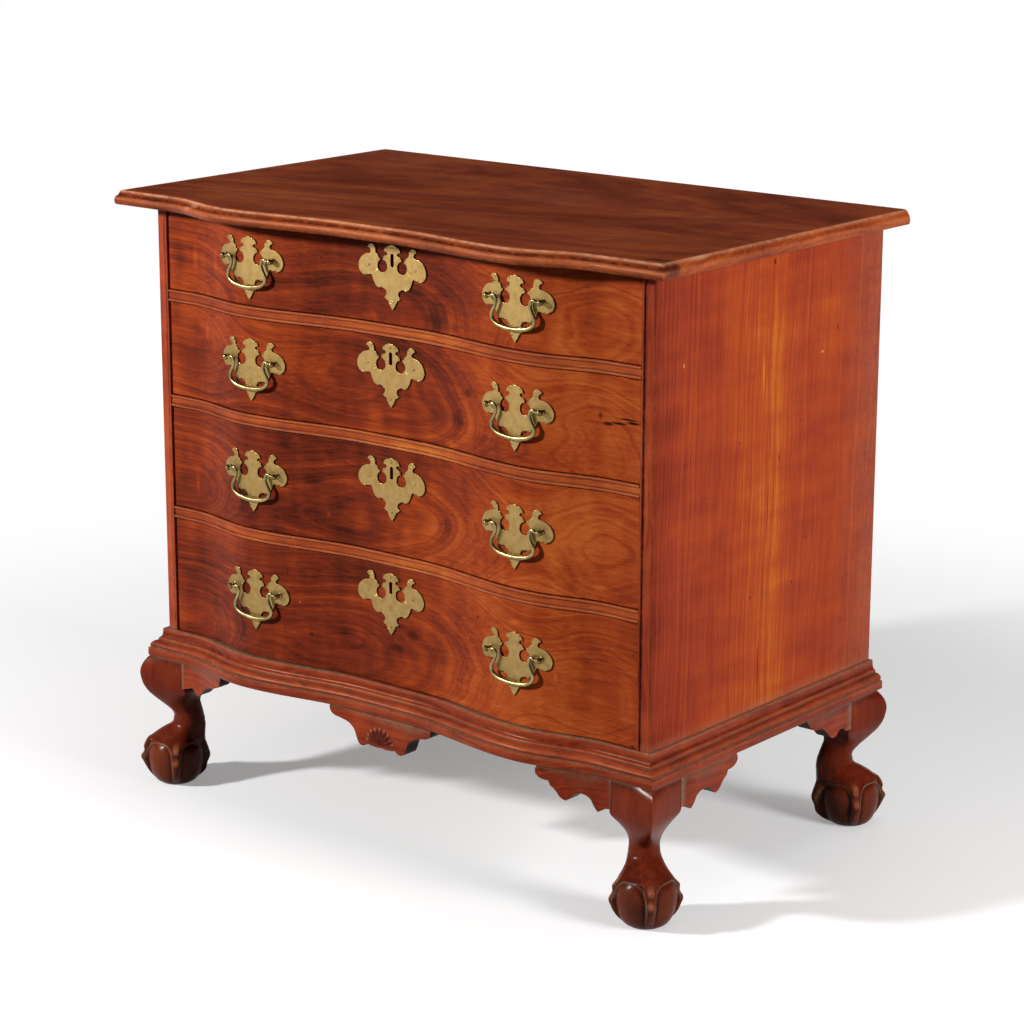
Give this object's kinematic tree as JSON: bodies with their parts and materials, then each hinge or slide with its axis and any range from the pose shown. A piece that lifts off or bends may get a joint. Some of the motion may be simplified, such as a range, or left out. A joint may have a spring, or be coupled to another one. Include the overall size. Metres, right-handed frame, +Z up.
{
  "type": "chest of drawers",
  "caption": "Low chest of drawers with a reverse-serpentine front, shaped overhanging top, moulded base, claw-and-ball feet, shell pendant and brass bail pulls.",
  "frame": {"origin": "on the floor, at the middle of the whole object's footprint box", "axes": "+X to the right of someone facing the drawers, +Y to the back, +Z up"},
  "size_m": [0.918, 0.5748, 0.842],
  "materials": {
    "mahogany_top": "waxed, dark red-brown, grain along the width",
    "mahogany_front": "waxed, figured red-brown",
    "mahogany_side": "waxed, orange-red, upright grain",
    "mahogany_trim": "waxed, dark lines in the quirks",
    "mahogany_carved": "waxed, near black in the recesses",
    "pine": "bare secondary wood",
    "aged_brass": "aged yellow brass plate",
    "dark_brass": "cast brass, darker from handling",
    "lock_iron": "wrought iron lock plate"
  },
  "bodies": {
    "case": {"top_board": "mahogany_top", "left_side": "mahogany_side", "right_side": "mahogany_side", "back_board_lower": "pine", "back_board_upper": "pine", "bottom_board": "pine", "divider_1": "mahogany_trim", "divider_2": "mahogany_trim", "divider_3": "mahogany_trim", "base_moulding_front": "mahogany_trim", "base_moulding_left": "mahogany_trim", "base_moulding_right": "mahogany_trim", "shell_pendant": "mahogany_trim", "foot_front_left": "mahogany_carved", "foot_front_right": "mahogany_carved", "foot_rear_left": "mahogany_carved", "foot_rear_right": "mahogany_carved", "knee_bracket_front_left": "mahogany_trim", "knee_bracket_front_right": "mahogany_trim", "knee_bracket_side_front_left": "mahogany_trim", "knee_bracket_side_front_right": "mahogany_trim", "knee_bracket_side_rear_left": "mahogany_trim", "knee_bracket_side_rear_right": "mahogany_trim"},
    "drawer_1": {"drawer_1_front": "mahogany_front", "drawer_1_box": "pine", "drawer_1_bottom": "pine", "drawer_1_lock": "lock_iron", "drawer_1_escutcheon": "aged_brass", "drawer_1_pull_plate_left": "aged_brass", "drawer_1_pull_plate_right": "aged_brass"},
    "drawer_2": {"drawer_2_front": "mahogany_front", "drawer_2_box": "pine", "drawer_2_bottom": "pine", "drawer_2_lock": "lock_iron", "drawer_2_escutcheon": "aged_brass", "drawer_2_pull_plate_left": "aged_brass", "drawer_2_pull_plate_right": "aged_brass"},
    "drawer_3": {"drawer_3_front": "mahogany_front", "drawer_3_box": "pine", "drawer_3_bottom": "pine", "drawer_3_lock": "lock_iron", "drawer_3_escutcheon": "aged_brass", "drawer_3_pull_plate_left": "aged_brass", "drawer_3_pull_plate_right": "aged_brass"},
    "drawer_4": {"drawer_4_front": "mahogany_front", "drawer_4_box": "pine", "drawer_4_bottom": "pine", "drawer_4_lock": "lock_iron", "drawer_4_escutcheon": "aged_brass", "drawer_4_pull_plate_left": "aged_brass", "drawer_4_pull_plate_right": "aged_brass"},
    "bail_1_left": {"drawer_1_bail_left": "dark_brass"},
    "bail_1_right": {"drawer_1_bail_right": "dark_brass"},
    "bail_2_left": {"drawer_2_bail_left": "dark_brass"},
    "bail_2_right": {"drawer_2_bail_right": "dark_brass"},
    "bail_3_left": {"drawer_3_bail_left": "dark_brass"},
    "bail_3_right": {"drawer_3_bail_right": "dark_brass"},
    "bail_4_left": {"drawer_4_bail_left": "dark_brass"},
    "bail_4_right": {"drawer_4_bail_right": "dark_brass"}
  },
  "joints": [
    {"name": "drawer_1_slide", "type": "slide", "parent": "case", "child": "drawer_1", "axis": [0, -1, 0], "range_m": [0, 0.38]},
    {"name": "drawer_2_slide", "type": "slide", "parent": "case", "child": "drawer_2", "axis": [0, -1, 0], "range_m": [0, 0.38]},
    {"name": "drawer_3_slide", "type": "slide", "parent": "case", "child": "drawer_3", "axis": [0, -1, 0], "range_m": [0, 0.38]},
    {"name": "drawer_4_slide", "type": "slide", "parent": "case", "child": "drawer_4", "axis": [0, -1, 0], "range_m": [0, 0.38]},
    {"name": "bail_1_left_hinge", "type": "hinge", "parent": "drawer_1", "child": "bail_1_left", "pos_m": [-0.228, -0.24539, 0.7718], "axis": [-1, 0, 0], "range_deg": [0, 177]},
    {"name": "bail_1_right_hinge", "type": "hinge", "parent": "drawer_1", "child": "bail_1_right", "pos_m": [0.222, -0.24503, 0.7718], "axis": [-1, 0, 0], "range_deg": [0, 177]},
    {"name": "bail_2_left_hinge", "type": "hinge", "parent": "drawer_2", "child": "bail_2_left", "pos_m": [-0.228, -0.24539, 0.63535], "axis": [-1, 0, 0], "range_deg": [0, 177]},
    {"name": "bail_2_right_hinge", "type": "hinge", "parent": "drawer_2", "child": "bail_2_right", "pos_m": [0.222, -0.24503, 0.63535], "axis": [-1, 0, 0], "range_deg": [0, 177]},
    {"name": "bail_3_left_hinge", "type": "hinge", "parent": "drawer_3", "child": "bail_3_left", "pos_m": [-0.228, -0.24539, 0.4834], "axis": [-1, 0, 0], "range_deg": [0, 177]},
    {"name": "bail_3_right_hinge", "type": "hinge", "parent": "drawer_3", "child": "bail_3_right", "pos_m": [0.222, -0.24503, 0.4834], "axis": [-1, 0, 0], "range_deg": [0, 177]},
    {"name": "bail_4_left_hinge", "type": "hinge", "parent": "drawer_4", "child": "bail_4_left", "pos_m": [-0.228, -0.24539, 0.31815], "axis": [-1, 0, 0], "range_deg": [0, 177]},
    {"name": "bail_4_right_hinge", "type": "hinge", "parent": "drawer_4", "child": "bail_4_right", "pos_m": [0.222, -0.24503, 0.31815], "axis": [-1, 0, 0], "range_deg": [0, 177]}
  ]
}
